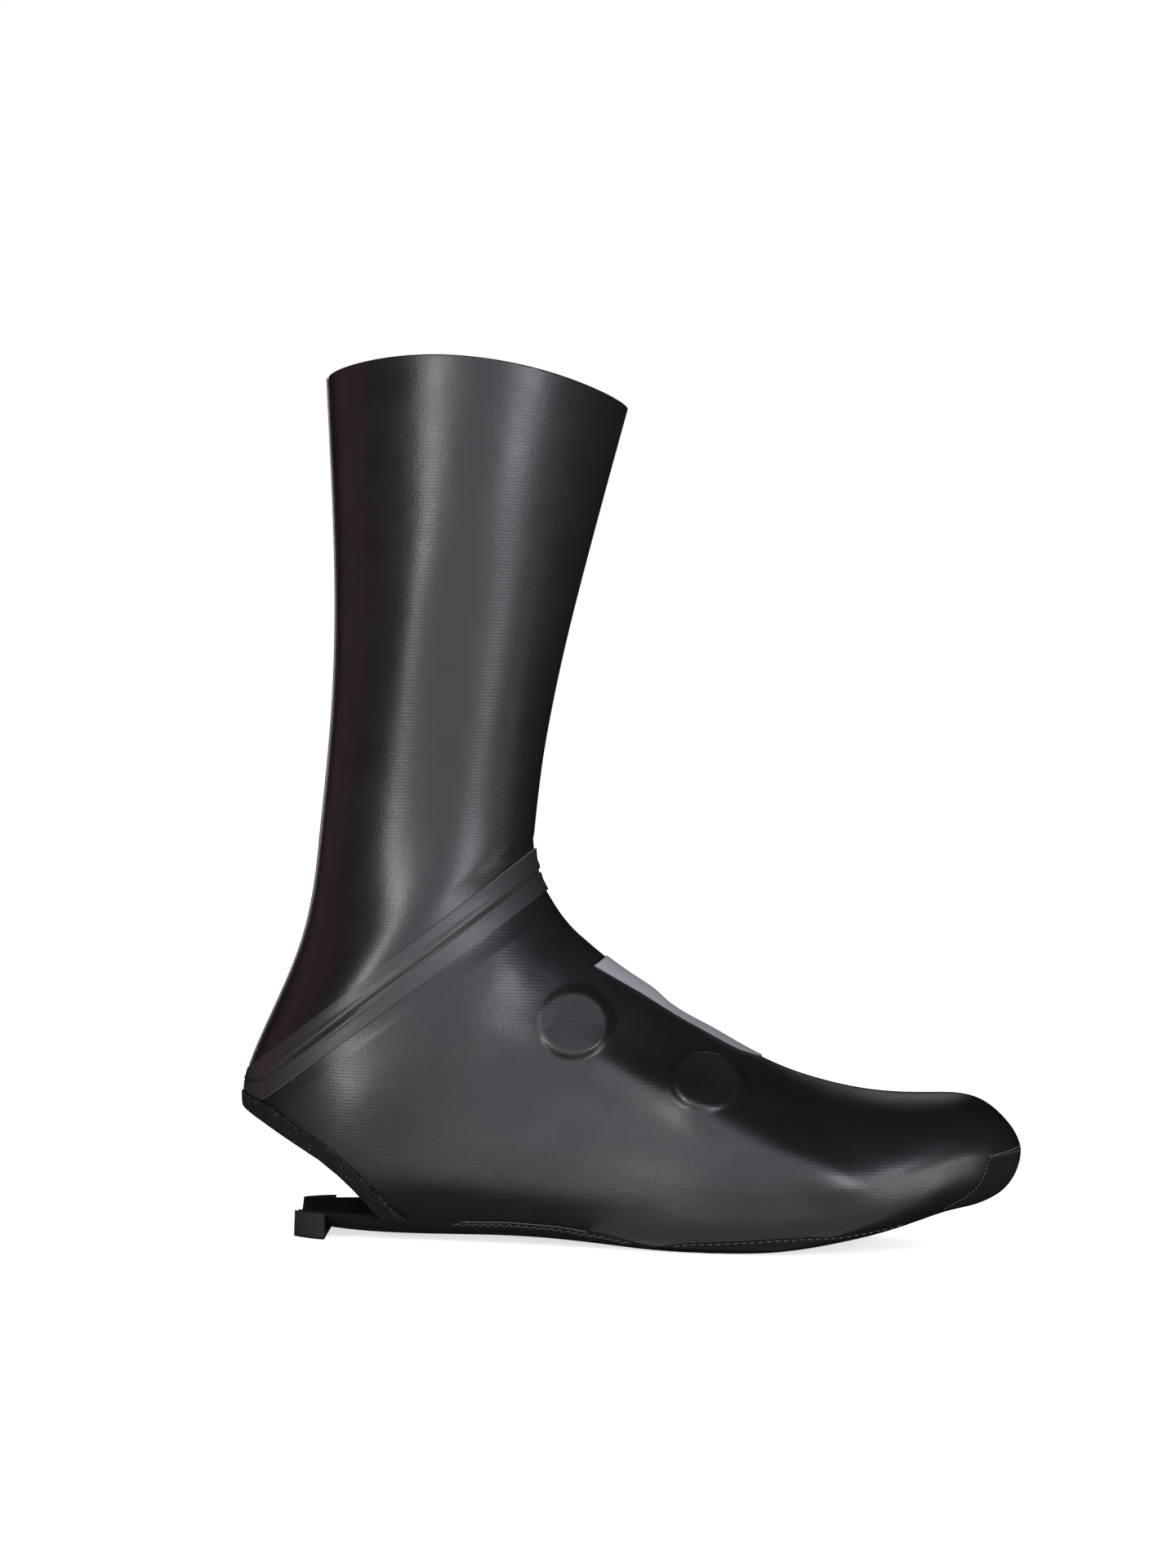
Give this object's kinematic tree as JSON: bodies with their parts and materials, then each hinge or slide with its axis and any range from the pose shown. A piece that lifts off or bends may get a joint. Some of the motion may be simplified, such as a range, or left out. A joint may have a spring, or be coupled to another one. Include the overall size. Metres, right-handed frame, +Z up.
{
  "type": "cycling overshoe",
  "caption": "Tall close-fitting aero overshoe for a cycling shoe, right foot, with a leg sleeve, bonded ankle band, heel cut-out and fabric sole.",
  "frame": {"origin": "on the floor plane, in the middle of the flat underside of the heel grip", "axes": "+X from heel to toe, +Z up the leg, -Y to the lateral side of a right foot"},
  "size_m": [0.2955, 0.1033, 0.3256],
  "materials": {
    "coated_cloth": "charcoal stretch knit with a thin satin polyurethane coat",
    "bonded_tape": "heat-bonded stretch tape, satin",
    "grey_film": "light grey printed film on the cloth, satin",
    "black_knit": "black brushed elastic knit, matt and fuzzy",
    "black_woven": "black hard-wearing woven fabric, matt",
    "grip_rubber": "black matt rubber"
  },
  "bodies": {
    "root": {"shaft": "coated_cloth", "upper": "coated_cloth", "ankle_band": "bonded_tape", "back_seam_tape": "bonded_tape", "instep_panel": "grey_film", "heel_binding": "black_knit", "sole_arch": "black_knit", "sole_forefoot": "black_woven", "toe_guard": "black_woven", "heel_grip": "grip_rubber"}
  },
  "joints": []
}
